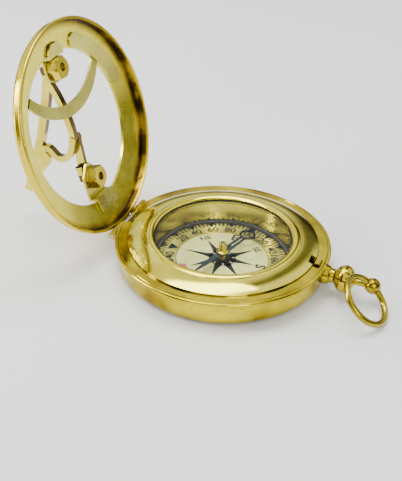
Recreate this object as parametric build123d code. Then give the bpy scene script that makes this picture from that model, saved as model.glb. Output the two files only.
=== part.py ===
from build123d import *
import os
from math import cos, radians, sin

# Push-button pocket sundial compass, in millimetres.
# Origin: centre of the base. +Z up, +X to the push button, -X to the lid hinge.
# The lid is open at rest. Lid pieces are modelled closed, then turned about the hinge.

# Case
CASE_R = 37.5
WALL_R = 36.5
CAVITY_R = 34.9
BASE_R = 32.5
WALL_FOOT_Z = 3.4
FLOOR_T = 1.2
FLANGE_Z = 10.0
FLANGE_T = 1.0
LEDGE_R = 33.15
LEDGE_IN_R = 31.8
BEAD_H = 1.5
SLOT_Z = 7.5
NOTCH_HALF = 4.5

# Compass chamber
CUP_R = 25.0
CUP_IN_R = 23.8
CUP_TOP_Z = 10.2
CUP_FLOOR_T = 0.4
DIAL_R = 23.4
DIAL_TOP_Z = 2.05
BEZEL_R = 33.0
BEZEL_TOP_Z = 12.2
BEZEL_IN_R = 26.7
SHELF_Z = 10.7
SIGHT_R = 23.9
GASKET_T = 0.2
GLASS_T = 0.9
RING_TOP_Z = 12.6

# Needle
NEEDLE_Z = 4.4
NEEDLE_T = 0.4
NEEDLE_NORTH = 19.5
NEEDLE_TAIL = 16.5
NEEDLE_AZIMUTH = 74.0
PIVOT_TIP_Z = 7.6
PIVOT_R = 0.35

# Push button line
STEM_Z = 6.7
STEM_R = 1.1
STEM_IN_X = 27.2
NECK_R = 2.4
NECK_SEAT_X = 36.38
CROWN_X = (40.4, 47.4)
CROWN_R = 4.7
KNOB_X = 53.4
KNOB_R = 2.7
BOW_R = 8.8
BOW_WIRE_R = 0.85
BOW_TILT = 40.0
BOW_PLAY = 0.36
CATCH_X = (33.2, 34.6)
RUN_GAP = 0.05

# Hinge and lid
HINGE_X = -36.8
HINGE_Z = 8.2
KNUCKLE_R = 1.5
KNUCKLE_HALF = 12.4
LID_KNUCKLE_HALF = 4.1
PIN_R = 0.75
OPEN_ANGLE = 108.5
LID_Z = 10.15
LID_R = 37.3
LID_WALL_T = 1.0
LID_WALL_H = 2.9
LID_OPENING_R = 27.2
LID_CROWN = 5.15
PLATE_T = 1.0

# Sundial
TOP_PAD_X = 21.8
LOW_PAD_X = -19.0
PAD_W = 7.3
PAD_T = 0.8
NUT_T = 3.9
NUT_FLATS = 7.2
STUD_R = 1.5
LUG_T = 0.7
FOLD_W = 11.0
FOLD_PIN_R = 0.8
EYE_R = 1.7
RIVET_X = -4.2
RIVET_W = 9.05
RIVET_R = 0.78
RIVET_HEAD_R = 1.3
RIVET_HEAD_T = 0.4
HARP_Y = (-1.5, 0.9)
STRUT_Y = (0.95, 2.55)
STYLE_W = 3.0
SCROLL_W = 2.2

os.makedirs("parts", exist_ok=True)


def save(name, shape):
    """Write one node to its own STEP file."""
    export_step(shape, f"parts/{name}.step")


def turned(points, axis=Axis.Z):
    """Solid of revolution from an outline of (radius, height) points."""
    with BuildPart() as part:
        with BuildSketch(Plane.XZ):
            with BuildLine():
                Polyline(*points, close=True)
            make_face()
        revolve(axis=axis)
    return part.part


def ring(r_in, r_out, z_low, z_high):
    return turned([(r_in, z_low), (r_out, z_low), (r_out, z_high), (r_in, z_high)])


def disc(radius, z_low, z_high):
    return Pos(0, 0, (z_low + z_high) / 2) * Cylinder(radius, z_high - z_low)


def block(x, y, z):
    """Box from three (low, high) pairs."""
    size = Box(x[1] - x[0], y[1] - y[0], z[1] - z[0])
    return Pos((x[0] + x[1]) / 2, (y[0] + y[1]) / 2, (z[0] + z[1]) / 2) * size


def rod(start, end, radius):
    """Round bar between two points."""
    start, end = Vector(*start), Vector(*end)
    way = end - start
    plane = Plane(origin=(start + end) * 0.5, z_dir=way)
    return plane * Cylinder(radius, way.length)


def along_x(points):
    """Solid turned about the push button line from (x, radius) points."""
    with BuildPart() as part:
        with BuildSketch(Plane.XZ):
            with BuildLine():
                Polyline((points[0][0], 0), *points, (points[-1][0], 0), close=True)
            make_face()
        revolve(axis=Axis.X)
    return Pos(0, 0, STEM_Z) * part.part


def opened(shape):
    """Turn a piece of the closed lid to its open rest place."""
    hinge = Axis((HINGE_X, 0, HINGE_Z), (0, 1, 0))
    return shape.rotate(hinge, -OPEN_ANGLE)


def side_plate(sketch, y):
    """Plate of a (u, w) sketch, upright on the lid, between two y values."""
    plane = Plane(origin=(0, y[1], LID_Z), x_dir=(1, 0, 0), z_dir=(0, -1, 0))
    return extrude(plane * sketch, y[1] - y[0])


def profile(points):
    """Closed flat outline."""
    return make_face(Polyline(*points, close=True))


# ---------------------------------------------------------------- case


def case_body():
    """Turned bowl with a flange round the bezel and a bead round the rim."""
    top = FLANGE_Z
    bead_z = top - BEAD_H
    with BuildPart() as part:
        with BuildSketch(Plane.XZ):
            with BuildLine():
                Line((0, 0), (BASE_R, 0))
                ThreePointArc((BASE_R, 0), (WALL_R - 1.2, 0.95), (WALL_R, WALL_FOOT_Z))
                Line((WALL_R, WALL_FOOT_Z), (WALL_R, bead_z))
                Line((WALL_R, bead_z), (CASE_R - 0.3, bead_z + 0.25))
                ThreePointArc((CASE_R - 0.3, bead_z + 0.25), (CASE_R, top - 0.6), (CASE_R - 0.5, top))
                Polyline(
                    (CASE_R - 0.5, top),
                    (CASE_R - 1.1, top),
                    (CASE_R - 1.25, top - 0.15),
                    (CASE_R - 1.4, top),
                    (LEDGE_R, top),
                    (LEDGE_R, top - FLANGE_T),
                    (LEDGE_IN_R, top - FLANGE_T),
                    (LEDGE_IN_R, top - 2 * FLANGE_T),
                    (CAVITY_R, top - 2 * FLANGE_T),
                    (CAVITY_R, WALL_FOOT_Z + 1.2),
                )
                ThreePointArc((CAVITY_R, WALL_FOOT_Z + 1.2), (CAVITY_R - 1.3, 2.1), (BASE_R - 1, FLOOR_T))
                Polyline((BASE_R - 1, FLOOR_T), (0, FLOOR_T), (0, 0))
            make_face()
        revolve(axis=Axis.Z)
    bowl = part.part
    for cutter in (*case_slots(), case_leaf(-1), case_leaf(1)):
        bowl -= cutter
    return bowl


def case_slots():
    """Cutters for the neck seat and for the slots of the hinge, spring and catch."""
    above = FLANGE_Z + 1
    neck_seat = along_x([(33, NECK_R), (NECK_SEAT_X, NECK_R), (NECK_SEAT_X, 3.45), (39, 3.45)])
    knuckle_notch = block((-39, -34.5), (-NOTCH_HALF, NOTCH_HALF), (HINGE_Z - 2, above))
    spring_slot = block((-34.6, -32.4), (-3.8, 2.2), (SLOT_Z, above))
    catch_slot = block((31.0, 35.4), (-2.5, 2.5), (SLOT_Z, above))
    return neck_seat, knuckle_notch, spring_slot, catch_slot


def case_leaf(side):
    """One outer knuckle with its leaf, bored for the pin."""
    y = sorted((side * (LID_KNUCKLE_HALF + 0.3), side * KNUCKLE_HALF))
    barrel = rod((HINGE_X, y[0], HINGE_Z), (HINGE_X, y[1], HINGE_Z), KNUCKLE_R)
    leaf = block((HINGE_X, -34.6), y, (HINGE_Z - 1.2, HINGE_Z + 0.4))
    return barrel + leaf


def case_knuckles():
    """Outer hinge knuckles of the case, one each side."""
    bore = rod((HINGE_X, -14, HINGE_Z), (HINGE_X, 14, HINGE_Z), PIN_R)
    return Compound([case_leaf(side) - bore for side in (-1, 1)])


def bezel_dome():
    """Domed bezel between the flange and the glass, hollow underneath."""
    with BuildPart() as part:
        with BuildSketch(Plane.XZ):
            with BuildLine():
                Polyline((BEZEL_R, FLANGE_Z - FLANGE_T), (BEZEL_R, 10.6))
                ThreePointArc((BEZEL_R, 10.6), (30.2, 11.65), (BEZEL_IN_R, BEZEL_TOP_Z))
                Polyline(
                    (BEZEL_IN_R, BEZEL_TOP_Z),
                    (BEZEL_IN_R, SHELF_Z),
                    (SIGHT_R + 0.1, SHELF_Z),
                    (SIGHT_R + 0.1, CUP_TOP_Z),
                    (27.3, CUP_TOP_Z),
                    (27.9, 11.1),
                    (31.7, 10.3),
                    (31.9, FLANGE_Z - FLANGE_T),
                    (BEZEL_R, FLANGE_Z - FLANGE_T),
                )
            make_face()
        revolve(axis=Axis.Z)
    catch_notch = block((31.3, 34), (-2.2, 2.2), (8, 13))
    return part.part - catch_notch


def chamber_cup():
    """Cup that holds the dial and carries the bezel shelf."""
    wall = ring(CUP_IN_R, CUP_R, FLOOR_T, CUP_TOP_Z)
    return wall + disc(CUP_IN_R + 0.1, FLOOR_T, FLOOR_T + CUP_FLOOR_T)


def dial_card():
    """Printed dial disc with a hole for the pivot post."""
    low = FLOOR_T + CUP_FLOOR_T
    return disc(DIAL_R, low, DIAL_TOP_Z) - disc(0.9, low - 1, DIAL_TOP_Z + 1)


def pivot_post():
    """Brass post that holds the steel pivot, riveted through the dial."""
    low = FLOOR_T + CUP_FLOOR_T
    outline = [(0, low), (0.88, low), (0.88, DIAL_TOP_Z), (1.5, DIAL_TOP_Z), (1.1, 3.4), (0, 3.4)]
    post = turned(outline)
    return post - disc(PIVOT_R, 2.4, 4)


def pivot_pin():
    """Hardened steel point that the needle turns on."""
    tip = PIVOT_TIP_Z
    return turned([(0, 2.4), (PIVOT_R, 2.4), (PIVOT_R, tip - 1.2), (0.05, tip), (0, tip)])


def gasket():
    return ring(SIGHT_R + 0.2, BEZEL_IN_R - 0.1, SHELF_Z, SHELF_Z + GASKET_T)


def glass():
    """Flat glass with a ground edge."""
    low = SHELF_Z + GASKET_T
    return chamfer(disc(BEZEL_IN_R - 0.1, low, low + GLASS_T).edges(), 0.15)


def glass_ring():
    """Rounded ring that is pressed in over the glass."""
    low = SHELF_Z + GASKET_T + GLASS_T
    inner, outer, top = SIGHT_R, BEZEL_IN_R - 0.02, RING_TOP_Z
    with BuildPart() as part:
        with BuildSketch(Plane.XZ):
            with BuildLine():
                Polyline((inner, low + 0.25), (inner, low), (outer, low), (outer, low + 0.35))
                ThreePointArc((outer, low + 0.35), ((inner + outer) / 2, top), (inner, low + 0.25))
            make_face()
        revolve(axis=Axis.Z)
    return part.part


def needle():
    """Blued steel needle: slim tail, pointed head with a ring."""
    ring_x = NEEDLE_NORTH - 4.2
    tail = profile([(-NEEDLE_TAIL, 0), (-9, 0.75), (-1.2, 0.9), (-1.2, -0.9), (-9, -0.75)])
    head = profile([(1.2, 0.9), (ring_x, 0.45), (ring_x, -0.45), (1.2, -0.9)])
    point = profile([(ring_x, 0.6), (NEEDLE_NORTH, 0), (ring_x, -0.6)])
    eye = Pos(ring_x, 0) * (Circle(2.0) - Circle(1.25))
    sketch = tail + head + point + eye + Circle(1.7) - Circle(0.95)
    flat = extrude(Pos(0, 0, NEEDLE_Z) * sketch, NEEDLE_T)
    return Rot(0, 0, NEEDLE_AZIMUTH) * flat


def needle_cap():
    """Brass cap riveted through the needle, hollow for the pivot and its jewel."""
    low = NEEDLE_Z
    neck = low + NEEDLE_T
    outline = [(0.55, low), (0.93, low), (0.93, neck), (2.2, neck), (2.2, neck + 0.4)]
    outline += [(1.5, neck + 0.75), (1.35, 8.2), (1.1, 8.5), (0.85, 8.5), (0.85, 7.0), (0.55, 7.0)]
    return turned(outline)


def cap_jewel():
    """Cup jewel that rides on the pivot point."""
    seat = disc(0.83, 7.05, 8.4)
    return seat - turned([(0, 7.0), (0.5, 7.0), (0, 7.65)])


# ---------------------------------------------------------------- push button


def neck_collar():
    """Collar soldered through the case wall, bored for the stem."""
    seat = NECK_SEAT_X + 0.02
    outline = [(34.95, NECK_R - 0.02), (seat, NECK_R - 0.02), (seat, 3.3), (37.2, 3.4), (38.6, 3.1)]
    outline += [(39.2, 2.5), (CROWN_X[0], 2.4)]
    bore = rod((30, 0, STEM_Z), (42, 0, STEM_Z), STEM_R + RUN_GAP)
    return along_x(outline) - bore


def crown():
    """Onion crown in two halves with a groove between them."""
    x0, x1 = CROWN_X
    middle, half = (x0 + x1) / 2, (x1 - x0) / 2
    steps = 14
    outline = []
    for i in range(steps + 1):
        angle = radians(180 - 180 * i / steps)
        outline.append((middle + half * cos(angle), max(1.6, CROWN_R * sin(angle) ** 0.75)))
    groove = rod((42.3, 0, STEM_Z), (42.7, 0, STEM_Z), 6) - rod((42, 0, STEM_Z), (43, 0, STEM_Z), 3.6)
    bore = rod((39, 0, STEM_Z), (49, 0, STEM_Z), STEM_R + RUN_GAP)
    return along_x(outline) - groove - bore


def bow_direction():
    """Direction of the cross hole in the knob, tangent to the bow."""
    return Vector(cos(radians(BOW_TILT)), 0, -sin(radians(BOW_TILT)))


def bow_hole():
    centre, way = Vector(KNOB_X, 0, STEM_Z), bow_direction()
    return rod(tuple(centre - way * 6), tuple(centre + way * 6), BOW_WIRE_R + BOW_PLAY)


def push_stem():
    """Rod from the knob to the catch."""
    stem = rod((STEM_IN_X, 0, STEM_Z), (KNOB_X - 2.2, 0, STEM_Z), STEM_R)
    return stem - bow_hole()


def push_knob():
    """Round end knob with a cross hole for the bow."""
    ball = Pos(KNOB_X, 0, STEM_Z) * Sphere(KNOB_R)
    socket = rod((KNOB_X - 4, 0, STEM_Z), (KNOB_X - 2.2, 0, STEM_Z), STEM_R)
    return ball - socket - bow_hole()


def catch_block():
    """Latch upright on the stem, with a nose that stands in the flange slot."""
    upright = block(CATCH_X, (-1.6, 1.6), (4.9, 10.9))
    nose = block((CATCH_X[0], 35.3), (-1.6, 1.6), (10.15, 10.9))
    bore = rod((30, 0, STEM_Z), (37, 0, STEM_Z), STEM_R)
    return chamfer((upright + nose).edges().filter_by(Axis.Y).group_by(Axis.Z)[-1], 0.3) - bore


def return_spring():
    """Coil spring between the chamber cup and the catch."""
    low, high, radius, wire = 25.35, 33.15, 2.0, 0.28
    turns = 6
    length = high - low - 2 * wire
    path = Helix(pitch=length / turns, height=length, radius=radius)
    section = Plane(origin=path @ 0, z_dir=path % 0) * Circle(wire)
    coil = sweep(section, path=path)
    return Pos(low + wire, 0, STEM_Z) * Rot(0, 90, 0) * coil


def bow_ring():
    """Round wire bow that passes through the knob."""
    way = bow_direction()
    plane = Plane(origin=(KNOB_X, -BOW_R, STEM_Z), x_dir=tuple(way), z_dir=tuple(way.cross(Vector(0, 1, 0))))
    return plane * Torus(BOW_R, BOW_WIRE_R)


# ---------------------------------------------------------------- hinge


def hinge_pin():
    """Steel pin held in the case knuckles."""
    half = KNUCKLE_HALF + 0.4
    return rod((HINGE_X, -half, HINGE_Z), (HINGE_X, half, HINGE_Z), PIN_R)


def lid_knuckle():
    """Middle knuckle with its leaf, soldered to the lid wall."""
    y = (-LID_KNUCKLE_HALF, LID_KNUCKLE_HALF)
    barrel = rod((HINGE_X, y[0], HINGE_Z), (HINGE_X, y[1], HINGE_Z), KNUCKLE_R)
    leaf = block((HINGE_X - KNUCKLE_R, HINGE_X), y, (HINGE_Z, LID_Z + 2.0))
    bore = rod((HINGE_X, -6, HINGE_Z), (HINGE_X, 6, HINGE_Z), PIN_R + RUN_GAP)
    return opened(barrel + leaf - bore - Cylinder(LID_R, 40))


def lid_spring():
    """Curved leaf spring inside the wall that throws the lid open."""
    blade = ring(CAVITY_R - 0.7, CAVITY_R - 0.2, 5.2, 7.4)
    sector = Polyline((0, 0), (-60, 7), (-60, -50), close=True)
    return blade & extrude(make_face(sector), 20)


def spring_rivet():
    """Rivet that holds the leaf spring to the wall."""
    angle = radians(214)
    way = Vector(cos(angle), sin(angle), 0)
    centre = Vector(0, 0, 6.3)
    head = rod(tuple(centre + way * 33.2), tuple(centre + way * (CAVITY_R - 0.7)), 1.4)
    return head & ring(33.4, CAVITY_R - 0.72, 3, 9)


# ---------------------------------------------------------------- lid


def lid_ring():
    """Open dial plate: turned wall and a crowned ring with an eased rim."""
    wall_top = LID_Z + LID_WALL_H
    crown_z = LID_Z + LID_CROWN
    inner_wall = LID_R - LID_WALL_T
    with BuildPart() as part:
        with BuildSketch(Plane.XZ):
            with BuildLine():
                Polyline((inner_wall, wall_top), (inner_wall, LID_Z), (LID_R - 0.2, LID_Z))
                ThreePointArc((LID_R - 0.2, LID_Z), (LID_R, LID_Z + 0.5), (LID_R - 0.2, LID_Z + 1.0))
                Polyline((LID_R - 0.2, LID_Z + 1.0), (LID_R - 0.2, wall_top - 0.4))
                ThreePointArc(
                    (LID_R - 0.2, wall_top - 0.4),
                    (LID_R - 0.75, wall_top + 0.75),
                    (LID_R - 2.0, wall_top + 1.35),
                )
                Polyline(
                    (LID_R - 2.0, wall_top + 1.35),
                    (LID_OPENING_R, crown_z + PLATE_T),
                    (LID_OPENING_R, crown_z),
                    (inner_wall - 0.8, wall_top + 0.25),
                    (inner_wall, wall_top),
                )
            make_face()
        revolve(axis=Axis.Z)
    return opened(part.part)


def hour_arc():
    """Crescent hour bow across the opening, with a lug under the ring."""
    outer = Pos(33.1, 0) * Circle(28.1)
    inner = Pos(36.0, 0) * Circle(26.6)
    crescent = (outer - inner) & Circle(LID_OPENING_R - 0.02)
    low = LID_Z + LID_CROWN - 0.3
    return opened(extrude(Pos(0, 0, low) * crescent, 1.0))


def crown_under(radius):
    """Height of the sloping underside of the ring at a radius."""
    low_r, low_z = LID_R - LID_WALL_T - 0.8, LID_Z + LID_WALL_H + 0.25
    slope = (LID_Z + LID_CROWN - low_z) / (low_r - LID_OPENING_R)
    return low_z + slope * (low_r - radius)


def arc_lug():
    """Curved lug soldered under the ring, beside the end of the hour bow."""
    inner, outer = LID_OPENING_R + 0.05, 32.2
    top_in, top_out = crown_under(inner) - 0.02, crown_under(outer) - 0.02
    outline = [(inner, top_in), (outer, top_out), (outer, top_out - LUG_T), (inner, top_in - LUG_T)]
    start, end = radians(23), radians(74)
    wedge = [(0, 0), (50 * cos(start), 50 * sin(start)), (40, 45), (50 * cos(end), 50 * sin(end))]
    rounds = [Pos(29.8 * cos(a), 29.8 * sin(a), 15) * Cylinder(2.45, 8) for a in (start, end)]
    sector = Pos(0, 0, 8) * extrude(profile(wedge), 20)
    return opened(turned(outline) & (sector + rounds))


def bracket_profile(side, far, near):
    """Joggled strip: soldered end under the ring, raised pad for the nut."""
    step = side * (LID_OPENING_R - 0.7)
    back = side * (LID_OPENING_R - 1.5)
    slope = (LID_CROWN - LID_WALL_H) / (LID_R - LID_WALL_T - 0.8 - LID_OPENING_R)
    drop = (far - LID_OPENING_R) * slope
    top = LID_CROWN - 0.12
    outline = [
        (side * far, top - drop - PAD_T),
        (side * far, top - drop),
        (step, top),
        (step, PAD_W + PAD_T),
        (near, PAD_W + PAD_T),
        (near, PAD_W),
        (back, PAD_W),
        (back, top - PAD_T),
    ]
    return profile(outline)


def upper_bracket():
    """Round-ended bracket at the far side of the opening."""
    strip = side_plate(bracket_profile(1, 30.2, 17.0), (-4.4, 4.4))
    round_pad = extrude(Pos(TOP_PAD_X, 0) * Circle(4.9), 30)
    round_root = extrude(Pos(26.0, 0) * Circle(4.5), 30)
    hole = rod((TOP_PAD_X, 0, 12), (TOP_PAD_X, 0, 22), STUD_R)
    middle = block((TOP_PAD_X, 26), (-4.4, 4.4), (0, 30))
    return opened((strip & (round_pad + middle + round_root)) - hole)


def lower_bracket():
    """Tapered bracket at the hinge side of the opening."""
    strip = side_plate(bracket_profile(-1, 30.6, -13.4), (-5.6, 5.6))
    outline = [(-31, 5.4), (-25, 5.2), (-17.5, 4.8), (-13.6, 0.8), (-13.6, -0.8)]
    outline += [(-17.5, -4.8), (-25, -5.2), (-31, -5.4)]
    hole = rod((LOW_PAD_X, 0, 12), (LOW_PAD_X, 0, 22), STUD_R)
    return opened((strip & extrude(profile(outline), 30)) - hole)


def clamp_nut(x):
    """Hexagon nut with eased corners, on the inner face of a bracket."""
    top = LID_Z + PAD_W
    hexagon = Rot(0, 0, 30) * RegularPolygon(NUT_FLATS / 2, 6, major_radius=False)
    nut = extrude(Pos(x, 0, top - NUT_T) * hexagon, NUT_T)
    cone = turned([(0, top - NUT_T), (3.5, top - NUT_T), (4.3, top - NUT_T + 0.6), (4.3, top), (0, top)])
    bore = rod((x, 0, top - 6), (x, 0, top + 1), STUD_R)
    return (nut & (Pos(x, 0, 0) * cone)) - bore


def clamp_nuts():
    return opened(Compound([clamp_nut(TOP_PAD_X), clamp_nut(LOW_PAD_X)]))


def yoke(x, side):
    """Threaded stud, round foot, lug and fold pin in one turned and milled piece."""
    pad_top = LID_Z + PAD_W + PAD_T
    fold_z = LID_Z + FOLD_W
    stud = rod((x, 0, LID_Z + PAD_W - NUT_T + 0.9), (x, 0, pad_top), STUD_R)
    foot = disc(3.3, pad_top, pad_top + 0.9)
    lug = block((x - 1.1, x + 1.1), (-1.7, 1.7), (pad_top, fold_z))
    cap = rod((x - 1.1, 0, fold_z), (x + 1.1, 0, fold_z), 1.7)
    pin = rod((x, 0, fold_z), (x - side * 4.6, 0, fold_z), FOLD_PIN_R)
    return opened(stud + Pos(x, 0, 0) * foot + lug + cap + pin)


# ---------------------------------------------------------------- gnomon


def fold_eye(x, side):
    """Barrel eye that turns on the fold pin."""
    fold_z = LID_Z + FOLD_W
    start, end = x - side * 1.4, x - side * 4.4
    return rod((start, 0, fold_z), (end, 0, fold_z), EYE_R)


def eye_bores():
    fold_z = LID_Z + FOLD_W
    bores = rod((-30, 0, fold_z), (-14.2, 0, fold_z), FOLD_PIN_R + RUN_GAP)
    return bores + rod((17.2, 0, fold_z), (30, 0, fold_z), FOLD_PIN_R + RUN_GAP)


def rivet_hole():
    z = LID_Z + RIVET_W
    return rod((RIVET_X, -6, z), (RIVET_X, 6, z), RIVET_R + 0.02)


def gnomon_harp():
    """Openwork gnomon: straight style, foot and scrolled brace."""
    style_line = ThreePointArc((18.3, 10.9), (0.0, 21.3), (-21.3, 36.6))
    style = trace(style_line, line_width=STYLE_W)
    foot = profile([(-5.6, 23.0), (-9.6, 21.2), (-12.6, 23.6), (-15.0, 27.4), (-15.8, 32.4), (-9.0, 28.2)])
    scroll_line = Spline(
        (18.2, 11.0),
        (9.0, 8.8),
        (2.0, 8.4),
        (-3.2, 8.9),
        (-7.4, 11.0),
        (-10.4, 14.4),
        (-9.9, 18.4),
        (-7.2, 20.0),
        (-6.0, 23.4),
    )
    scroll = trace(scroll_line, line_width=SCROLL_W)
    plate = side_plate(style + foot + scroll, HARP_Y)
    harp = plate + fold_eye(TOP_PAD_X, 1)
    return opened(harp - eye_bores() - rivet_hole())


def gnomon_strut():
    """Flat strut from the brace to the lower fold pin."""
    outline = [(-2.6, 10.4), (-14.5, 12.5), (-17.3, 12.2), (-17.3, 9.8), (-14.5, 9.2), (-2.6, 7.7)]
    plate = side_plate(profile(outline), STRUT_Y)
    return opened(plate + fold_eye(LOW_PAD_X, -1) - eye_bores() - rivet_hole())


def strut_rivet():
    """Brass rivet through brace and strut."""
    z = LID_Z + RIVET_W
    low, high = HARP_Y[0], STRUT_Y[1]
    rivet = rod((RIVET_X, low, z), (RIVET_X, high, z), RIVET_R)
    for start in (low - RIVET_HEAD_T, high):
        rivet += rod((RIVET_X, start, z), (RIVET_X, start + RIVET_HEAD_T, z), RIVET_HEAD_R)
    return opened(rivet)


NODES = {
    "case_body": case_body,
    "case_knuckles": case_knuckles,
    "bezel_dome": bezel_dome,
    "chamber_cup": chamber_cup,
    "dial_card": dial_card,
    "pivot_post": pivot_post,
    "pivot_pin": pivot_pin,
    "glass_gasket": gasket,
    "glass": glass,
    "glass_ring": glass_ring,
    "compass_needle": needle,
    "needle_cap": needle_cap,
    "cap_jewel": cap_jewel,
    "neck_collar": neck_collar,
    "crown": crown,
    "push_stem": push_stem,
    "push_knob": push_knob,
    "catch_block": catch_block,
    "return_spring": return_spring,
    "bow_ring": bow_ring,
    "hinge_pin": hinge_pin,
    "lid_knuckle": lid_knuckle,
    "lid_spring": lid_spring,
    "spring_rivet": spring_rivet,
    "lid_ring": lid_ring,
    "hour_arc": hour_arc,
    "arc_lug": arc_lug,
    "upper_bracket": upper_bracket,
    "lower_bracket": lower_bracket,
    "clamp_nuts": clamp_nuts,
    "upper_yoke": lambda: yoke(TOP_PAD_X, 1),
    "lower_yoke": lambda: yoke(LOW_PAD_X, -1),
    "gnomon_harp": gnomon_harp,
    "gnomon_strut": gnomon_strut,
    "strut_rivet": strut_rivet,
}

for node, make in NODES.items():
    save(node, make())
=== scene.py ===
from math import cos, pi, radians, sin

import bmesh
import bpy
from mathutils import Matrix, Quaternion, Vector


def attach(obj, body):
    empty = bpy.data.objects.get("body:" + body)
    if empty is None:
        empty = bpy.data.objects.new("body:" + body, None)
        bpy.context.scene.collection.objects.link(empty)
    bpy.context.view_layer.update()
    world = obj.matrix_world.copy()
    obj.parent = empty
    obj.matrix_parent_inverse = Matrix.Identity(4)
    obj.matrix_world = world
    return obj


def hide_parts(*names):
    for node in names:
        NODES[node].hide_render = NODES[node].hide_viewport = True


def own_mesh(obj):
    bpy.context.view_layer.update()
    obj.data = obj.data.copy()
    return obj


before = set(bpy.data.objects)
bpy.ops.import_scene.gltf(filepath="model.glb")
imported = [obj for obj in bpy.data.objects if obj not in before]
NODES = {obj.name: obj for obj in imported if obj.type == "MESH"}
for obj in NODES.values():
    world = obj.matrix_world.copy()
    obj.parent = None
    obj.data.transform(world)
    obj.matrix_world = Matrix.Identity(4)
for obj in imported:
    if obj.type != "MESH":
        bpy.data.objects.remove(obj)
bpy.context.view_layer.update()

MM = 0.001

# Camera: where it stands, what it looks at, how far its right side is lifted.
CAMERA_AT = Vector((0.08828, -0.23364, 0.17450))
CAMERA_TARGET = Vector((-0.00851, 0.00058, 0.00660))
CAMERA_ROLL = radians(1.75)
CAMERA_LENS = 64.47
CAMERA_SENSOR = 36.0
NEAR_CLIP = 0.01

# Lid at rest: its hinge line, its outward axis and its centre on the closing plane.
HINGE_REACH = 36.8
HINGE_Z = 8.2
LID_SEAT = 1.95
OPEN_ANGLE = radians(108.5)
HINGE = Vector((-HINGE_REACH, 0, HINGE_Z)) * MM
LID_AXIS = Vector((-sin(OPEN_ANGLE), 0, cos(OPEN_ANGLE)))
LID_RIGHT = Vector((cos(OPEN_ANGLE), 0, sin(OPEN_ANGLE)))
LID_CENTRE = HINGE + LID_RIGHT * HINGE_REACH * MM + LID_AXIS * LID_SEAT * MM

# Dial print, in mm and degrees: heights, the azimuth of north, radii, and the steps of the scale.
DIAL_TOP = 2.05
PRINT_T = 0.02
NORTH = 183.0
SCALE_OUT = 22.8
SCALE_IN = 20.0
TICK_IN = 20.6
ZERO_IN = 16.4
NUMBER_R = 18.4
WIND_R = 13.7
MAIN_R = 13.9
SCALE_STEP = 4
WEDGE_STEP = 20
HUB_R = 3.0

# Needle, in mm and degrees: heights, tail and tip, the eye in its head and the collar round the cap.
NEEDLE_LOW = 4.4
NEEDLE_HIGH = 4.8
NEEDLE_TURN = radians(74.0)
TAIL_X = -16.5
TIP_X = 19.4
EYE_X = 14.6
EYE_OUT = 3.0
EYE_IN = 2.15
COLLAR_OUT = 1.9
COLLAR_IN = 0.98

# Bow, in mm: its centre, its radius, the radius of its wire and the lean of its plane.
BOW_AT = (53.4, -8.55, 6.7)
BOW_R = 8.55
BOW_WIRE_R = 1.1
BOW_LEAN = radians(40)

# Push button: a point on its line, in metres.
BUTTON_LINE = Vector((0, 0, 6.7)) * MM

# Steps round a turned ring, and half the side of the floor and the span of the dial zones, in metres.
RING_STEPS = 120
FLOOR_HALF = 3.0
DIAL_SPAN = 0.025


# ------------------------------------------------------------ material nodes


def add_node(tree, kind, settings=None, **values):
    """New node, with settings on the node and values on its sockets."""
    node = tree.nodes.new(kind)
    for key, value in (settings or {}).items():
        setattr(node, key, value)
    for key, value in values.items():
        node.inputs[key.replace("_", " ")].default_value = value
    return node


def link(tree, source, target, output=0):
    tree.links.new(source.outputs[output], target)


def new_material(name):
    material = bpy.data.materials.new(name)
    material.use_nodes = True
    tree = material.node_tree
    return material, tree, tree.nodes["Principled BSDF"]


def object_coordinates(tree):
    return add_node(tree, "ShaderNodeTexCoord").outputs["Object"]


def noise(tree, scale, detail=3.0, rough=0.5, vector=None):
    node = add_node(tree, "ShaderNodeTexNoise", Scale=scale, Detail=detail, Roughness=rough)
    tree.links.new(vector or object_coordinates(tree), node.inputs["Vector"])
    return node


def ramp(tree, source, stops, output=0):
    """Colour ramp driven by another node."""
    node = add_node(tree, "ShaderNodeValToRGB")
    link(tree, source, node.inputs["Fac"], output)
    elements = node.color_ramp.elements
    while len(elements) < len(stops):
        elements.new(0.5)
    for element, (place, colour) in zip(elements, stops):
        element.position = place
        element.color = (*colour, 1)
    return node


def mix_colour(tree, factor, first, second, blend="MIX"):
    """Mix of two colours; each is a socket or a plain colour."""
    node = add_node(tree, "ShaderNodeMix", {"data_type": "RGBA", "blend_type": blend})
    if isinstance(factor, float):
        node.inputs[0].default_value = factor
    else:
        tree.links.new(factor, node.inputs[0])
    for socket, colour in ((node.inputs[6], first), (node.inputs[7], second)):
        if isinstance(colour, tuple):
            socket.default_value = (*colour, 1)
        else:
            tree.links.new(colour, socket)
    return node.outputs[2]


def map_range(tree, source, low, high, to_low, to_high, output=0):
    ends = {"From_Min": low, "From_Max": high, "To_Min": to_low, "To_Max": to_high}
    node = add_node(tree, "ShaderNodeMapRange", **ends)
    link(tree, source, node.inputs["Value"], output)
    return node


def multiply(tree, first, second):
    node = add_node(tree, "ShaderNodeMath", {"operation": "MULTIPLY"})
    link(tree, first, node.inputs[0])
    link(tree, second, node.inputs[1])
    return node


def away_from(tree, centre):
    """Vector from a centre to the shaded point."""
    away = add_node(tree, "ShaderNodeVectorMath", {"operation": "SUBTRACT"})
    tree.links.new(object_coordinates(tree), away.inputs[0])
    away.inputs[1].default_value = centre
    return away


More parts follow.
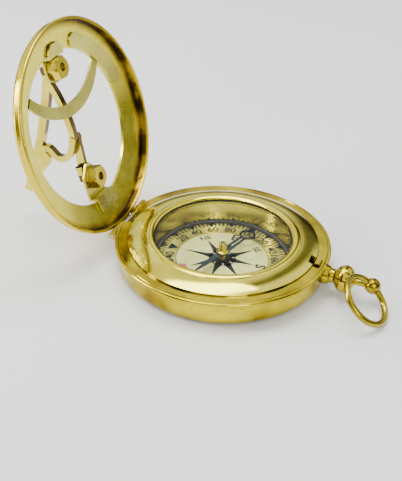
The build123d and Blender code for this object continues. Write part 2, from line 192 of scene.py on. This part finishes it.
def radius_about(tree, centre, axis):
    """Distance from a turning axis, in metres, on the node's second output."""
    cross = add_node(tree, "ShaderNodeVectorMath", {"operation": "CROSS_PRODUCT"})
    link(tree, away_from(tree, centre), cross.inputs[0])
    cross.inputs[1].default_value = axis
    length = add_node(tree, "ShaderNodeVectorMath", {"operation": "LENGTH"})
    link(tree, cross, length.inputs[0])
    return length


def height_along(tree, centre, axis):
    """Distance along an axis from a centre, in metres, on the node's second output."""
    dot = add_node(tree, "ShaderNodeVectorMath", {"operation": "DOT_PRODUCT"})
    link(tree, away_from(tree, centre), dot.inputs[0])
    dot.inputs[1].default_value = axis
    return dot


def bump(tree, bsdf, layers):
    """Chain of bump nodes from (source, output, strength, distance) layers."""
    last = None
    for source, output, strength, distance in layers:
        node = add_node(tree, "ShaderNodeBump", Strength=strength, Distance=distance)
        link(tree, source, node.inputs["Height"], output)
        if last:
            link(tree, last, node.inputs["Normal"])
        last = node
    link(tree, last, bsdf.inputs["Normal"])


# ------------------------------------------------------------ brass

# Grime and painted shade in the corners, the slant of the hair scratches, and how softly the painted dark
# reflection on the lid's inner wall fades, in metres.
GRIME_AND_SHADE_COLOUR = (0.060, 0.038, 0.012)
GRIME_AND_SHADE_REACH = 0.0011
HAIR_TURN = (0.5, 0.9, 0.4)
HAIR_STRETCH = (1.0, 14.0, 9.0)
WALL_FADE = 0.0006
WALL_STEP = 0.0003


def rim_band(tree, colour, centre, way, low, high, band_colour):
    """Second colour up to a height, as on the outside of the lid's rim."""
    height = height_along(tree, centre, way)
    mask = map_range(tree, height, low, high, 1.0, 0.0, output=1)
    return mix_colour(tree, mask.outputs[0], colour, band_colour)


def inner_wall(tree, colour, centre, way, wall_r, foot, head, reflected_wall_tint):
    """Streaky painted dark reflection inside a radius, between two heights."""
    radius = radius_about(tree, centre, way)
    inside = map_range(tree, radius, wall_r, wall_r + WALL_STEP, 1.0, 0.0, output=1)
    height = height_along(tree, centre, way)
    above = map_range(tree, height, foot, foot + WALL_FADE, 0.0, 1.0, output=1)
    below = map_range(tree, height, head, head + WALL_FADE, 1.0, 0.0, output=1)
    streaks = map_range(tree, noise(tree, 95.0, 3.0, 0.6), 0.36, 0.50, 0.35, 1.0)
    mask = multiply(tree, multiply(tree, inside, above), multiply(tree, below, streaks))
    return mix_colour(tree, mask.outputs[0], colour, reflected_wall_tint)


def narrow_sides(tree, colour, centre, way, height, reflected_side_tint):
    """Painted dark reflection on the narrow sides of an upright plate, faint above a height."""
    normal = add_node(tree, "ShaderNodeSeparateXYZ")
    link(tree, add_node(tree, "ShaderNodeTexCoord"), normal.inputs[0], 1)
    side = add_node(tree, "ShaderNodeMath", {"operation": "ABSOLUTE"})
    link(tree, normal, side.inputs[0], 1)
    thin = map_range(tree, side, 0.3, 0.6, 0.95, 0.0)
    along = height_along(tree, centre, way)
    near = map_range(tree, along, height, height + 0.001, 1.0, 0.15, output=1)
    return mix_colour(tree, multiply(tree, thin, near).outputs[0], colour, reflected_side_tint)


def brass(name, light, deep, rough, grain, lines=0.0, axis=None, grime_and_shade=0.9, scratch=0.35, paint=()):
    """Polished brass: drifting tint, handling marks, grime and painted shade in the corners from an occlusion
    mask, and fine turning lines.
    """
    material, tree, bsdf = new_material(name)
    bsdf.inputs["Metallic"].default_value = 1.0
    colour = ramp(tree, noise(tree, 70.0, 2.0), [(0.32, deep), (0.62, light)]).outputs[0]
    for painter, values in paint:
        colour = painter(tree, colour, *values)
    spots = map_range(tree, noise(tree, 420.0, 5.0, 0.65), 0.56, 0.74, 0.0, 0.45)
    colour = mix_colour(tree, spots.outputs[0], colour, tuple(0.55 * v for v in deep))
    # Grime and painted shade: near-black mixed in where the occlusion node finds nearby surfaces.
    corner = add_node(tree, "ShaderNodeAmbientOcclusion", {"samples": 6}, Distance=GRIME_AND_SHADE_REACH)
    occluded_shade_mask = map_range(tree, corner, 0.25, 0.8, grime_and_shade, 0.0, output=1)
    colour = mix_colour(tree, occluded_shade_mask.outputs[0], colour, GRIME_AND_SHADE_COLOUR)
    tree.links.new(colour, bsdf.inputs["Base Color"])
    smear = noise(tree, 160.0, 4.0, 0.6)
    roughness = map_range(tree, smear, 0.3, 0.75, rough * 0.7, rough * 1.9)
    link(tree, roughness, bsdf.inputs["Roughness"])
    stretched = add_node(tree, "ShaderNodeMapping")
    tree.links.new(object_coordinates(tree), stretched.inputs["Vector"])
    stretched.inputs["Rotation"].default_value = HAIR_TURN
    stretched.inputs["Scale"].default_value = HAIR_STRETCH
    hairs = noise(tree, 260.0, 2.0, 0.5, stretched.outputs[0])
    pits = noise(tree, 1500.0, 2.0, 0.6)
    waves = noise(tree, 55.0, 1.0)
    layers = [(waves, 0, 0.35, 0.0006), (hairs, 0, scratch * 0.25, 0.00004), (pits, 0, grain, 0.00005)]
    if lines:
        radius = radius_about(tree, *axis)
        rings = add_node(tree, "ShaderNodeTexNoise", {"noise_dimensions": "1D"}, Scale=2600.0, Detail=2.0)
        tree.links.new(radius.outputs[1], rings.inputs["W"])
        layers.append((rings, 0, lines, 0.00004))
    bump(tree, bsdf, layers)
    return material


# ------------------------------------------------------------ other materials


def steel(name, colour, rough):
    """Drawn steel with faint draw marks."""
    material, tree, bsdf = new_material(name)
    bsdf.inputs["Metallic"].default_value = 1.0
    cloud = noise(tree, 300.0, 4.0)
    tint = ramp(tree, cloud, [(0.3, tuple(0.7 * v for v in colour)), (0.7, colour)])
    link(tree, tint, bsdf.inputs["Base Color"])
    roughness = map_range(tree, cloud, 0.3, 0.7, rough, rough * 1.7)
    link(tree, roughness, bsdf.inputs["Roughness"])
    bump(tree, bsdf, [(noise(tree, 2200.0, 2.0), 0, 0.2, 0.00003)])
    return material


def blued(name):
    """Dark blued steel with a thin gloss and paler worn patches."""
    material, tree, bsdf = new_material(name)
    bsdf.inputs["Metallic"].default_value = 0.75
    bsdf.inputs["Coat Weight"].default_value = 0.15
    bsdf.inputs["Coat Roughness"].default_value = 0.08
    cloud = noise(tree, 380.0, 5.0, 0.6)
    tint = ramp(tree, cloud, [(0.35, (0.006, 0.012, 0.022)), (0.7, (0.022, 0.042, 0.066))])
    link(tree, tint, bsdf.inputs["Base Color"])
    roughness = map_range(tree, cloud, 0.3, 0.7, 0.16, 0.34)
    link(tree, roughness, bsdf.inputs["Roughness"])
    bump(tree, bsdf, [(noise(tree, 1800.0), 0, 0.15, 0.00003)])
    return material


def dial_material(name):
    """Lacquered dial: ivory centre, gilt scale ring, fine foil grain; zones are shares of DIAL_SPAN."""
    material, tree, bsdf = new_material(name)
    radius = radius_about(tree, (0, 0, 0), (0, 0, 1))
    share = map_range(tree, radius, 0.0, DIAL_SPAN, 0.0, 1.0, output=1)
    zones = [
        (0.0, (0.86, 0.84, 0.30)),
        (0.642, (0.88, 0.86, 0.36)),
        (0.650, (0.36, 0.28, 0.05)),
        (0.658, (0.62, 0.53, 0.10)),
        (0.80, (0.86, 0.80, 0.26)),
        (0.94, (0.74, 0.64, 0.14)),
    ]
    paint = ramp(tree, share, zones)
    cloud = noise(tree, 130.0, 4.0, 0.6)
    shade = ramp(tree, cloud, [(0.3, (0.84, 0.80, 0.62)), (0.6, (1.0, 1.0, 0.96))])
    colour = mix_colour(tree, 1.0, paint.outputs[0], shade.outputs[0], "MULTIPLY")
    tree.links.new(colour, bsdf.inputs["Base Color"])
    metal = ramp(tree, share, [(0.64, (0.06, 0.06, 0.06)), (0.66, (0.60, 0.60, 0.60))])
    link(tree, metal, bsdf.inputs["Metallic"])
    roughness = map_range(tree, noise(tree, 240.0, 4.0), 0.3, 0.7, 0.14, 0.30)
    link(tree, roughness, bsdf.inputs["Roughness"])
    bsdf.inputs["Coat Weight"].default_value = 0.25
    bsdf.inputs["Coat Roughness"].default_value = 0.06
    bump(tree, bsdf, [(noise(tree, 1300.0, 3.0), 0, 0.18, 0.00004), (cloud, 0, 0.3, 0.0003)])
    return material


def ink_material(name, colour, wear):
    """Printed enamel ink, slightly uneven."""
    material, tree, bsdf = new_material(name)
    cloud = noise(tree, 700.0, 5.0, 0.7)
    tint = ramp(tree, cloud, [(0.3, colour), (0.75, wear)])
    link(tree, tint, bsdf.inputs["Base Color"])
    roughness = map_range(tree, cloud, 0.3, 0.7, 0.35, 0.6)
    link(tree, roughness, bsdf.inputs["Roughness"])
    bsdf.inputs["Specular IOR Level"].default_value = 0.12
    bump(tree, bsdf, [(noise(tree, 2400.0), 0, 0.2, 0.00002)])
    return material


def glass_material(name):
    """Clear flat glass: straight-through light, and a faint reflection that grows when seen edge on."""
    material, tree, bsdf = new_material(name)
    output = tree.nodes["Material Output"]
    smear = noise(tree, 120.0, 4.0, 0.6)
    roughness = map_range(tree, smear, 0.4, 0.8, 0.0, 0.03)
    gloss = add_node(tree, "ShaderNodeBsdfGlossy")
    gloss.inputs["Color"].default_value = (0.95, 1.0, 0.97, 1)
    link(tree, roughness, gloss.inputs["Roughness"])
    clear = add_node(tree, "ShaderNodeBsdfTransparent")
    clear.inputs["Color"].default_value = (0.975, 0.99, 0.965, 1)
    facing = add_node(tree, "ShaderNodeLayerWeight", Blend=0.5)
    steep = add_node(tree, "ShaderNodeMath", {"operation": "POWER"})
    link(tree, facing, steep.inputs[0], 1)
    steep.inputs[1].default_value = 5.0
    share = map_range(tree, steep, 0.0, 1.0, 0.006, 0.4)
    joined = add_node(tree, "ShaderNodeMixShader")
    link(tree, share, joined.inputs[0])
    link(tree, clear, joined.inputs[1])
    link(tree, gloss, joined.inputs[2])
    link(tree, joined, output.inputs["Surface"])
    tree.nodes.remove(bsdf)
    return material


def rubber(name):
    """Dull dark rubber with a fine skin."""
    material, tree, bsdf = new_material(name)
    cloud = noise(tree, 900.0, 4.0)
    tint = ramp(tree, cloud, [(0.3, (0.040, 0.036, 0.036)), (0.7, (0.085, 0.078, 0.076))])
    link(tree, tint, bsdf.inputs["Base Color"])
    bsdf.inputs["Roughness"].default_value = 0.6
    bump(tree, bsdf, [(cloud, 0, 0.3, 0.00005)])
    return material


def jewel(name):
    """Dark polished cup with cloudy depth."""
    material, tree, bsdf = new_material(name)
    cloud = noise(tree, 900.0, 3.0)
    tint = ramp(tree, cloud, [(0.3, (0.006, 0.018, 0.016)), (0.7, (0.030, 0.075, 0.060))])
    link(tree, tint, bsdf.inputs["Base Color"])
    bsdf.inputs["Roughness"].default_value = 0.08
    bsdf.inputs["Coat Weight"].default_value = 1.0
    bump(tree, bsdf, [(cloud, 0, 0.1, 0.00003)])
    return material


# Turning lines: a point and an axis.
CASE_TURNING = ((0, 0, 0), (0, 0, 1))
LID_TURNING = (LID_CENTRE, LID_AXIS)
BUTTON_TURNING = (BUTTON_LINE, (1, 0, 0))

# Rim tint, and painted dark reflections on the lid's inner wall and the harp's narrow sides: its painter,
# then where it lies, as a centre, an axis, radii and heights in metres.
BAND_COLOUR = (0.70, 0.54, 0.03)
WALL_REFLECTION_TINT = (0.075, 0.045, 0.012)
SIDE_REFLECTION_TINT = (0.085, 0.045, 0.015)
RIM_BAND = (rim_band, (LID_CENTRE, LID_AXIS, 0.0031, 0.0038, BAND_COLOUR))
WALL_REFLECTION_PAINT = (inner_wall, (LID_CENTRE, LID_AXIS, 0.0365, 0.0004, 0.0030, WALL_REFLECTION_TINT))
SIDE_REFLECTION_PAINT = (narrow_sides, (LID_CENTRE, LID_AXIS, 0.0195, SIDE_REFLECTION_TINT))

BRASSES = {
    "case_brass": {
        "light": (0.64, 0.52, 0.015), "deep": (0.24, 0.16, 0.003),
        "rough": 0.07, "grain": 0.12, "lines": 0.25, "axis": CASE_TURNING,
    },
    "bezel_brass": {
        "light": (0.80, 0.72, 0.10), "deep": (0.60, 0.50, 0.04),
        "rough": 0.08, "grain": 0.12, "lines": 0.3, "axis": CASE_TURNING,
    },
    "ring_brass": {
        "light": (0.84, 0.72, 0.06), "deep": (0.62, 0.49, 0.02),
        "rough": 0.07, "grain": 0.08, "lines": 0.2, "axis": CASE_TURNING,
    },
    "cup_brass": {
        "light": (0.66, 0.57, 0.12), "deep": (0.34, 0.27, 0.05),
        "rough": 0.14, "grain": 0.2, "lines": 0.6, "axis": CASE_TURNING,
    },
    "lid_cast": {
        "light": (0.78, 0.70, 0.08), "deep": (0.66, 0.57, 0.04),
        "rough": 0.16, "grain": 0.5, "lines": 0.12, "axis": LID_TURNING,
        "grime_and_shade": 0.95, "scratch": 0.5, "paint": (RIM_BAND, WALL_REFLECTION_PAINT),
    },
    "arc_brass": {
        "light": (0.62, 0.56, 0.12), "deep": (0.46, 0.40, 0.07),
        "rough": 0.22, "grain": 0.6, "grime_and_shade": 0.95, "scratch": 0.6,
    },
    "harp_brass": {
        "light": (0.78, 0.67, 0.10), "deep": (0.58, 0.45, 0.04),
        "rough": 0.12, "grain": 0.35, "paint": (SIDE_REFLECTION_PAINT,),
    },
    "nut_brass": {
        "light": (0.72, 0.56, 0.03), "deep": (0.40, 0.28, 0.01),
        "rough": 0.13, "grain": 0.2,
    },
    "crown_brass": {
        "light": (0.56, 0.43, 0.02), "deep": (0.16, 0.10, 0.003),
        "rough": 0.08, "grain": 0.1, "lines": 0.3, "axis": BUTTON_TURNING,
    },
    "bow_brass": {
        "light": (0.52, 0.41, 0.03), "deep": (0.18, 0.12, 0.006),
        "rough": 0.10, "grain": 0.15,
    },
    "stud_bronze": {
        "light": (0.22, 0.15, 0.03), "deep": (0.09, 0.055, 0.01),
        "rough": 0.2, "grain": 0.3,
    },
}

MATERIALS = {name: brass(name, **values) for name, values in BRASSES.items()}
MATERIALS.update({
    "pin_steel": steel("pin_steel", (0.62, 0.61, 0.58), 0.18),
    "spring_steel": steel("spring_steel", (0.30, 0.29, 0.27), 0.25),
    "blued_steel": blued("blued_steel"),
    "dial_gilt": dial_material("dial_gilt"),
    "dark_ink": ink_material("dark_ink", (0.004, 0.008, 0.012), (0.016, 0.022, 0.026)),
    "red_ink": ink_material("red_ink", (0.55, 0.05, 0.08), (0.72, 0.16, 0.18)),
    # Pale ink for the painted highlights in the hub of the star.
    "glint_ink": ink_material("glint_ink", (0.80, 0.78, 0.55), (0.9, 0.88, 0.66)),
    "flat_glass": glass_material("flat_glass"),
    "seal_rubber": rubber("seal_rubber"),
    "cup_jewel": jewel("cup_jewel"),
})

NODE_MATERIALS = {
    "case_brass": ("case_body", "neck_collar"),
    "bezel_brass": ("bezel_dome",),
    "ring_brass": ("glass_ring",),
    "cup_brass": ("chamber_cup", "pivot_post"),
    "lid_cast": ("lid_ring",),
    "arc_brass": ("hour_arc", "arc_lug", "upper_bracket", "lower_bracket"),
    "harp_brass": ("gnomon_harp", "gnomon_strut"),
    "stud_bronze": ("upper_yoke", "lower_yoke"),
    "nut_brass": ("clamp_nuts", "strut_rivet", "case_knuckles", "lid_knuckle",
                  "catch_block", "spring_rivet", "needle_cap"),
    "crown_brass": ("crown", "push_knob", "push_stem"),
    "bow_brass": ("bow_ring",),
    "pin_steel": ("hinge_pin", "pivot_pin"),
    "spring_steel": ("lid_spring", "return_spring"),
    "blued_steel": ("compass_needle",),
    "dial_gilt": ("dial_card",),
    "flat_glass": ("glass",),
    "seal_rubber": ("glass_gasket",),
    "cup_jewel": ("cap_jewel",),
}

for material_name, node_names in NODE_MATERIALS.items():
    for node_name in node_names:
        mesh = NODES[node_name].data
        mesh.materials.clear()
        mesh.materials.append(MATERIALS[material_name])


# ------------------------------------------------------------ mesh helpers


def new_piece(name, bm, material):
    """Mesh object made from a bmesh, with its material."""
    mesh = bpy.data.meshes.new(name)
    bm.to_mesh(mesh)
    bm.free()
    piece = bpy.data.objects.new(name, mesh)
    bpy.context.scene.collection.objects.link(piece)
    mesh.materials.append(material)
    return piece


def prism(bm, points, low=DIAL_TOP, high=DIAL_TOP + PRINT_T, base=False):
    """Flat shape from (x, y) points between two heights, in mm; base closes its underside."""
    bottom = [bm.verts.new((x * MM, y * MM, low * MM)) for x, y in points]
    top = [bm.verts.new((x * MM, y * MM, high * MM)) for x, y in points]
    bm.faces.new(top)
    if base:
        bm.faces.new(list(reversed(bottom)))
    for i in range(len(points)):
        j = (i + 1) % len(points)
        bm.faces.new((bottom[i], bottom[j], top[j], top[i]))


def turned(bm, outline, steps):
    """Smooth ring turned about Z from a closed outline of (radius, height) in mm."""
    rows = []
    for i in range(steps):
        a = 2 * pi * i / steps
        rows.append([bm.verts.new((r * cos(a) * MM, r * sin(a) * MM, z * MM)) for r, z in outline])
    count = len(outline)
    for i in range(steps):
        for j in range(count):
            k, m = (i + 1) % steps, (j + 1) % count
            bm.faces.new((rows[i][j], rows[k][j], rows[k][m], rows[i][m])).smooth = True


def polar(radius, angle, side=0.0):
    """Point at a radius and azimuth in degrees, moved sideways."""
    a = radians(angle)
    return (radius * cos(a) - side * sin(a), radius * sin(a) + side * cos(a))


# ------------------------------------------------------------ dial print


def print_piece(name, bm, material):
    """Piece of the dial, which stays with the case."""
    bmesh.ops.recalc_face_normals(bm, faces=bm.faces)
    piece = new_piece(name, bm, MATERIALS[material])
    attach(piece, "case")
    return piece


def circle_band(bm, inner, outer, steps=96):
    for i in range(steps):
        a, b = 360 * i / steps, 360 * (i + 1) / steps
        prism(bm, [polar(inner, a), polar(outer, a), polar(outer, b), polar(inner, b)])


def scale_marks():
    """Degree ticks, wedges every 20 degrees and a large wedge at 0."""
    bm = bmesh.new()
    for degree in range(0, 360, SCALE_STEP):
        angle = NORTH - degree
        if degree % WEDGE_STEP == 0:
            prism(bm, [polar(SCALE_IN, angle), polar(SCALE_OUT, angle, -1.35), polar(SCALE_OUT, angle, 1.35)])
        else:
            prism(bm, [polar(TICK_IN, angle, -0.24), polar(SCALE_OUT, angle, -0.28),
                       polar(SCALE_OUT, angle, 0.28), polar(TICK_IN, angle, 0.24)])
    prism(bm, [polar(ZERO_IN, NORTH), polar(SCALE_IN, NORTH, -2.1), polar(SCALE_IN, NORTH, 2.1)])
    circle_band(bm, 22.7, 22.92)
    circle_band(bm, 16.2, 16.35)
    return print_piece("scale_marks", bm, "dark_ink")


def rose_star():
    """Eight slim points round a dark hub, the north point longest."""
    bm = bmesh.new()
    for index in range(8):
        angle = NORTH + 45 * index
        tip = 14.8 if index == 0 else 12.8 if index % 2 else 12.0
        prism(bm, [polar(HUB_R, angle, -1.7), polar(6.4, angle, -0.85), polar(tip, angle, 0.0),
                   polar(6.4, angle, 0.85), polar(HUB_R, angle, 1.7)])
    hub = [polar(5.0 + 0.3 * cos(radians(8 * a)), NORTH + a) for a in range(0, 360, 5)]
    prism(bm, hub)
    return print_piece("rose_star", bm, "dark_ink")


def rose_petals():
    """Small pale ovals in the hub of the star, between its points: painted highlights on the dark hub, drawn
    as pale print.
    """
    bm = bmesh.new()
    for index in range(8):
        angle = NORTH + 22.5 + 45 * index
        oval = []
        for step in range(16):
            turn = radians(22.5 * step)
            oval.append(polar(3.9 + 0.5 * cos(turn), angle, 0.22 * sin(turn)))
        prism(bm, oval)
    piece = print_piece("rose_petals", bm, "glint_ink")
    piece.data.transform(Matrix.Translation((0, 0, 0.6 * PRINT_T * MM)))
    return piece


def red_flower():
    """Red five-lobed mark on the scale side of the north-west point."""
    bm = bmesh.new()
    centre = polar(14.9, NORTH + 42)
    outline = []
    for step in range(48):
        turn = radians(7.5 * step)
        size = 1.55 + 0.45 * cos(5 * turn)
        outline.append((centre[0] + size * cos(turn), centre[1] + size * sin(turn)))
    prism(bm, outline)
    return print_piece("red_flower", bm, "red_ink")


def lettering(name, labels, size, weight):
    """Labels as (text, radius, azimuth), tops outward, joined into one mesh."""
    bm = bmesh.new()
    for text, radius, angle in labels:
        curve = bpy.data.curves.new("label", "FONT")
        curve.body = text
        curve.size = size * MM
        curve.align_x = "CENTER"
        curve.align_y = "CENTER"
        curve.extrude = PRINT_T * MM / 2
        curve.offset = weight * MM
        label = bpy.data.objects.new("label", curve)
        bpy.context.scene.collection.objects.link(label)
        bpy.context.view_layer.update()
        view = bpy.context.evaluated_depsgraph_get()
        mesh = bpy.data.meshes.new_from_object(label.evaluated_get(view))
        x, y = polar(radius, angle)
        place = Matrix.Translation((x * MM, y * MM, (DIAL_TOP + PRINT_T / 2) * MM))
        mesh.transform(place @ Matrix.Rotation(radians(angle - 90), 4, "Z"))
        bm.from_mesh(mesh)
        bpy.data.objects.remove(label)
        bpy.data.curves.remove(curve)
        bpy.data.meshes.remove(mesh)
    return print_piece(name, bm, "dark_ink")


def all_lettering():
    """Numbers every 20 degrees, then the winds inside them."""
    degrees = [(str(degree), NUMBER_R, NORTH - degree) for degree in range(WEDGE_STEP, 360, WEDGE_STEP)]
    lettering("degree_numbers", degrees, 4.2, 0.11)
    winds = [("NE", 45), ("SE", 135), ("SW", 225)]
    lettering("wind_letters", [(text, WIND_R, NORTH - turn) for text, turn in winds], 3.4, 0.08)
    mains = [("S", 180), ("E", 90), ("W", 270)]
    lettering("main_letters", [(text, MAIN_R, NORTH - turn) for text, turn in mains], 5.0, 0.15)


# ------------------------------------------------------------ pieces that replace or join CAD nodes


def needle():
    """Blued needle: slim tail, split head with a large ring, riveted collar round the cap."""
    bm = bmesh.new()

    def plate(points):
        prism(bm, points, NEEDLE_LOW, NEEDLE_HIGH, base=True)

    plate([(TAIL_X, 0), (-9, -0.85), (-1.6, -1.15), (-1.6, 1.15), (-9, 0.85)])
    split_end = EYE_X - EYE_IN - 0.3
    for side in (-1, 1):
        plate([(1.5, side * 0.35), (split_end, side * 0.35), (split_end, side * 1.15), (1.5, side * 1.5)])
    tip_root = EYE_X + EYE_IN + 0.2
    plate([(tip_root, -1.5), (TIP_X, 0), (tip_root, 1.5)])
    steps = 40
    for centre, r_in, r_out in ((EYE_X, EYE_IN, EYE_OUT), (0.0, COLLAR_IN, COLLAR_OUT)):
        for i in range(steps):
            a, b = 2 * pi * i / steps, 2 * pi * (i + 1) / steps
            plate([(centre + r_in * cos(a), r_in * sin(a)), (centre + r_out * cos(a), r_out * sin(a)),
                   (centre + r_out * cos(b), r_out * sin(b)), (centre + r_in * cos(b), r_in * sin(b))])
    bmesh.ops.recalc_face_normals(bm, faces=bm.faces)
    piece = new_piece("blued_needle", bm, MATERIALS["blued_steel"])
    piece.data.transform(Matrix.Rotation(NEEDLE_TURN, 4, "Z"))
    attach(piece, "needle")
    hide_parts("compass_needle")


def bow():
    """Round wire bow through the knob, leaning back from the button's line."""
    bm = bmesh.new()
    outline = []
    for step in range(20):
        b = 2 * pi * step / 20
        outline.append((BOW_R + BOW_WIRE_R * cos(b), BOW_WIRE_R * sin(b)))
    turned(bm, outline, RING_STEPS)
    piece = new_piece("bow_wire", bm, MATERIALS["bow_brass"])
    way = Vector((cos(BOW_LEAN), 0, -sin(BOW_LEAN)))
    normal = way.cross(Vector((0, 1, 0)))
    turn = normal.to_track_quat("Z", "Y").to_matrix().to_4x4()
    piece.data.transform(Matrix.Translation(Vector(BOW_AT) * MM) @ turn)
    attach(piece, "bow")
    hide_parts("bow_ring")


def coil_spring():
    """Return spring, a copy of its mesh that stays with the case."""
    piece = bpy.data.objects.new("coil_spring", NODES["return_spring"].data.copy())
    bpy.context.scene.collection.objects.link(piece)
    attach(piece, "case")
    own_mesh(piece)
    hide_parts("return_spring")


def dial_rim():
    """Dark ring between the dial and the cup wall: a painted shadow band, drawn as a rubber ring."""
    bm = bmesh.new()
    turned(bm, [(22.95, 2.06), (23.05, 2.75), (23.35, 3.05), (23.75, 3.1), (23.75, 2.06)], RING_STEPS)
    print_piece("dial_rim", bm, "seal_rubber")


bow()
coil_spring()
dial_rim()
needle()
scale_marks()
rose_star()
rose_petals()
red_flower()
all_lettering()


# ------------------------------------------------------------ studio


def area_light(name, at, target, size, energy, colour=(1, 1, 1)):
    light = bpy.data.lights.new(name, "AREA")
    light.shape = "RECTANGLE"
    light.size, light.size_y = size
    light.energy = energy
    light.color = colour
    lamp = bpy.data.objects.new(name, light)
    bpy.context.scene.collection.objects.link(lamp)
    lamp.location = at
    lamp.rotation_euler = (Vector(target) - Vector(at)).to_track_quat("-Z", "Y").to_euler()
    return lamp


def studio_world():
    """Soft white surround with a few darker flags for the metal to reflect."""
    world = bpy.data.worlds.new("studio")
    bpy.context.scene.world = world
    world.use_nodes = True
    tree = world.node_tree
    background = tree.nodes["Background"]
    split = add_node(tree, "ShaderNodeSeparateXYZ")
    link(tree, add_node(tree, "ShaderNodeTexCoord"), split.inputs[0])
    sky = ramp(tree, map_range(tree, split, -1.0, 1.0, 0.0, 1.0, output=2), [
        (0.0, (0.85, 0.85, 0.85)),
        (0.49, (0.80, 0.80, 0.80)),
        (0.53, (0.16, 0.15, 0.13)),
        (0.60, (0.22, 0.21, 0.19)),
        (0.67, (0.85, 0.85, 0.85)),
        (0.80, (1.0, 1.0, 1.0)),
    ])
    turn = add_node(tree, "ShaderNodeMath", {"operation": "ARCTAN2"})
    link(tree, split, turn.inputs[0], 1)
    link(tree, split, turn.inputs[1], 0)
    around = map_range(tree, turn, -pi, pi, 0.0, 1.0)
    flags = ramp(tree, around, [
        (0.00, (1.0, 1.0, 1.0)),
        (0.10, (1.0, 1.0, 1.0)),
        (0.14, (0.10, 0.09, 0.08)),
        (0.19, (0.10, 0.09, 0.08)),
        (0.23, (1.0, 1.0, 1.0)),
        (0.44, (1.0, 1.0, 1.0)),
        (0.47, (0.12, 0.11, 0.10)),
        (0.53, (0.12, 0.11, 0.10)),
        (0.56, (1.0, 1.0, 1.0)),
        (0.70, (1.0, 1.0, 1.0)),
        (0.73, (0.15, 0.14, 0.12)),
        (0.76, (0.15, 0.14, 0.12)),
        (0.79, (1.0, 1.0, 1.0)),
    ])
    lit = mix_colour(tree, 1.0, sky.outputs[0], flags.outputs[0], "MULTIPLY")
    tree.links.new(lit, background.inputs["Color"])
    background.inputs["Strength"].default_value = 1.4


def paper():
    """Pale paper for the floor, slightly cloudy."""
    material, tree, bsdf = new_material("pale_paper")
    cloud = noise(tree, 6.0, 3.0)
    tint = ramp(tree, cloud, [(0.2, (0.86, 0.86, 0.85)), (0.8, (0.92, 0.92, 0.91))])
    link(tree, tint, bsdf.inputs["Base Color"])
    bsdf.inputs["Roughness"].default_value = 0.75
    return material


def floor():
    bm = bmesh.new()
    turns = ((-1, -1), (1, -1), (1, 1), (-1, 1))
    bm.faces.new([bm.verts.new((x * FLOOR_HALF, y * FLOOR_HALF, 0)) for x, y in turns])
    new_piece("floor", bm, paper())


def camera():
    data = bpy.data.cameras.new("camera")
    data.sensor_width = CAMERA_SENSOR
    data.lens = CAMERA_LENS
    data.clip_start = NEAR_CLIP
    view = bpy.data.objects.new("camera", data)
    bpy.context.scene.collection.objects.link(view)
    view.location = CAMERA_AT
    aim = (CAMERA_TARGET - CAMERA_AT).to_track_quat("-Z", "Y")
    view.rotation_mode = "QUATERNION"
    view.rotation_quaternion = aim @ Quaternion((0, 0, 1), CAMERA_ROLL)
    bpy.context.scene.camera = view


camera()
floor()
studio_world()
area_light("overhead", at=(-0.15, 0.10, 0.75), target=(0, 0, 0), size=(0.6, 0.35), energy=5.0)
area_light("front_fill", at=(0.45, -0.55, 0.45), target=(0, 0, 0.02), size=(0.25, 0.45), energy=2.1)
area_light("left_strip", at=(-0.60, -0.25, 0.30), target=(0, 0, 0.03), size=(0.12, 0.6), energy=4.0,
           colour=(1.0, 0.98, 0.94))
